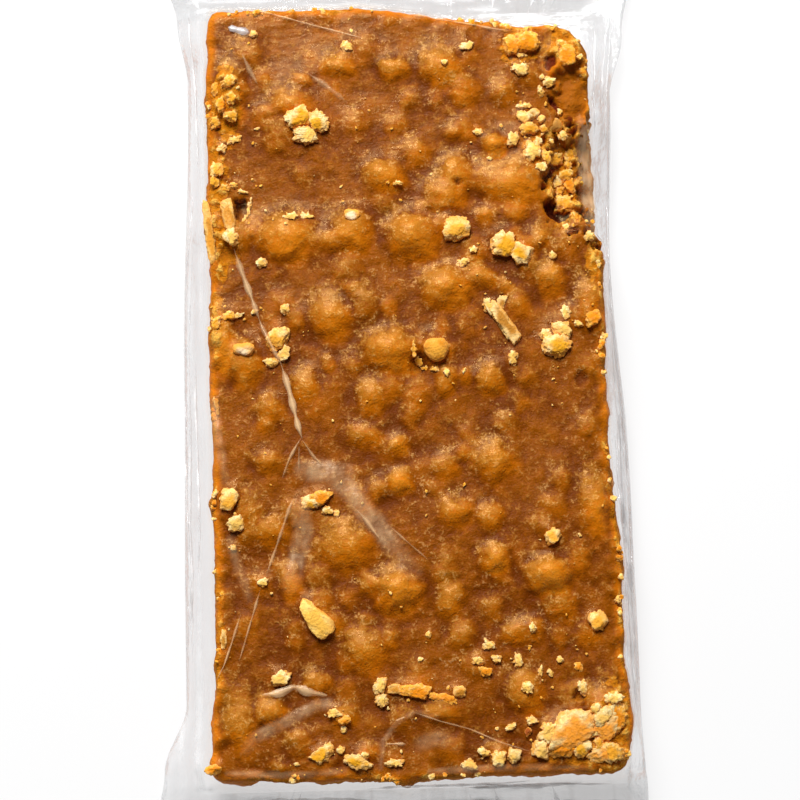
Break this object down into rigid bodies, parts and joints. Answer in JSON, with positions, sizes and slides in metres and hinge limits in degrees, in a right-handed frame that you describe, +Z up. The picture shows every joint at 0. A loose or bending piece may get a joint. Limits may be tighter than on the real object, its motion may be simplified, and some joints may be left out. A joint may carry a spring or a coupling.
{
  "type": "peanut rapadura in a clear bag",
  "caption": "Flat slab of peanut and panela candy with a lumpy caramel top, crumbs and a broken corner, sealed in a tight clear film bag with flat sealed ends.",
  "frame": {"origin": "centre of the bag's footprint, on the flat base it lies on", "axes": "+X across the slab, towards the side with the broken corner; +Y along the slab, towards the end with the broken corner; +Z up, out of the lumpy top"},
  "size_m": [0.093, 0.189, 0.0178],
  "materials": {
    "wrapped_slab": "caramel-brown candy seen through clear film",
    "candy": "satin caramel glaze with amber peanut lumps, crumbly orange-yellow where broken",
    "crumbs": "dry, rough, pale yellow to orange",
    "film": "thin clear wrapping film, glossy, whitened along its creases"
  },
  "bodies": {
    "root": {"sealed_bag": "wrapped_slab"}
  },
  "joints": []
}
